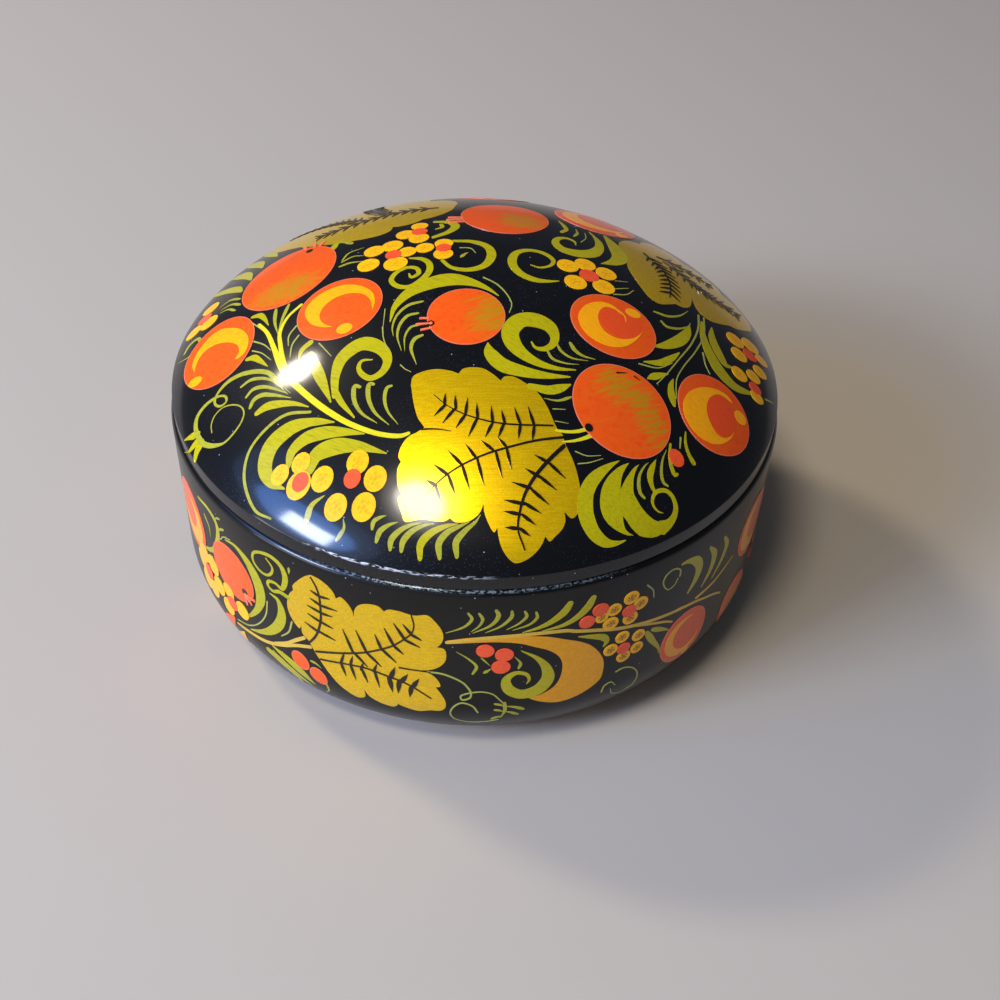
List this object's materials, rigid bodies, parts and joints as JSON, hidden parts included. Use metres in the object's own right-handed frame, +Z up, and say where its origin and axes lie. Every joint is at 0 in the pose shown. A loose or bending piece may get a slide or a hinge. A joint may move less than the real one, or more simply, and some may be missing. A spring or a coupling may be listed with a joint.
{
  "type": "round lacquer box",
  "caption": "Round turned wooden box with a rounded belly and a lift-off domed lid on a spigot, black lacquer with painted folk ornament.",
  "frame": {"origin": "centre of the flat foot, on the surface that the box stands on", "axes": "+Z up along the turning axis, through the middle of the lid"},
  "size_m": [0.12, 0.12, 0.072],
  "materials": {
    "black_lacquer": "gloss black lacquer",
    "gold_inside": "gloss gold-toned lacquer",
    "painted_ornament": "lacquered paint"
  },
  "bodies": {
    "bowl": {"bowl": "black_lacquer"},
    "lid": {"lid": "black_lacquer"}
  },
  "joints": [
    {"name": "lid_lift", "type": "slide", "parent": "bowl", "child": "lid", "axis": [0, 0, 1], "range_m": [0, 0.08]}
  ]
}
